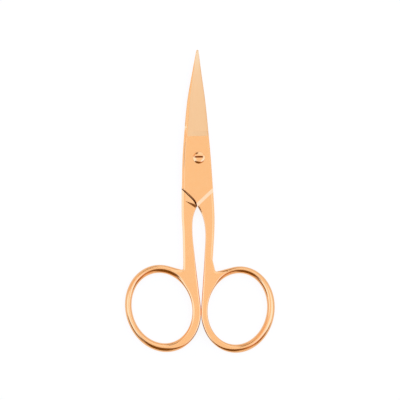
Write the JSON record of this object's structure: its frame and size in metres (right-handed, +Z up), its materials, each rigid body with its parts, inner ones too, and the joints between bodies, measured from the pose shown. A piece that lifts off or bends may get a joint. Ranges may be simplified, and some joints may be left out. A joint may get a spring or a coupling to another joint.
{
  "type": "nail scissors",
  "caption": "Straight nail scissors with tapered pointed blades, slim shanks and oval finger rings, hinged on a slotted domed screw.",
  "frame": {"origin": "on the pivot axis, at the flat back of the rear half's joint plate, which the closed scissors lie on", "axes": "+Y along the closed blades from the finger rings to the tips, +Z up through the joint from the rear half to the screw head, +X to the front half's ring"},
  "size_m": [0.0445, 0.0902, 0.0033],
  "materials": {
    "front_half_metal": "peach rose gold plating on steel, satin on the shank and rings, matte and brushed along the ground blade",
    "rear_half_metal": "peach rose gold plating on steel, satin on the shank and rings, matte and brushed along the ground blade",
    "screw_metal": "peach rose gold plating on steel, polished dome"
  },
  "bodies": {
    "rear": {"rear_half": "rear_half_metal", "pivot_screw": "screw_metal"},
    "front": {"front_half": "front_half_metal"}
  },
  "joints": [
    {"name": "pivot", "type": "hinge", "parent": "rear", "child": "front", "pos_m": [0, 0, 0], "axis": [0, 0, 1], "range_deg": [0, 126]}
  ]
}
